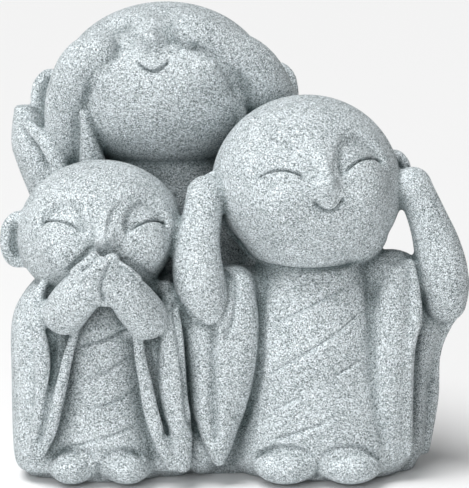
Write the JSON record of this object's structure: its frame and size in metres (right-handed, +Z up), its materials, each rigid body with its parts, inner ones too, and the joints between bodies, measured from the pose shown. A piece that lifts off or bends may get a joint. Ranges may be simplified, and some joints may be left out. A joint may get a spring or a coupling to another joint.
{
  "type": "garden statue",
  "caption": "Small cast garden statue: child monks in robes, huddled together, hands over eyes, ears and mouth.",
  "frame": {"origin": "centre of the bounding box in plan, on the ground under the statue", "axes": "+Z up, the faces look towards -Y, +X to the viewer's right"},
  "size_m": [0.228, 0.1582, 0.2277],
  "materials": {
    "cast_stone": "matt, speckled like grey granite"
  },
  "bodies": {
    "root": {"monk_statue": "cast_stone"}
  },
  "joints": []
}
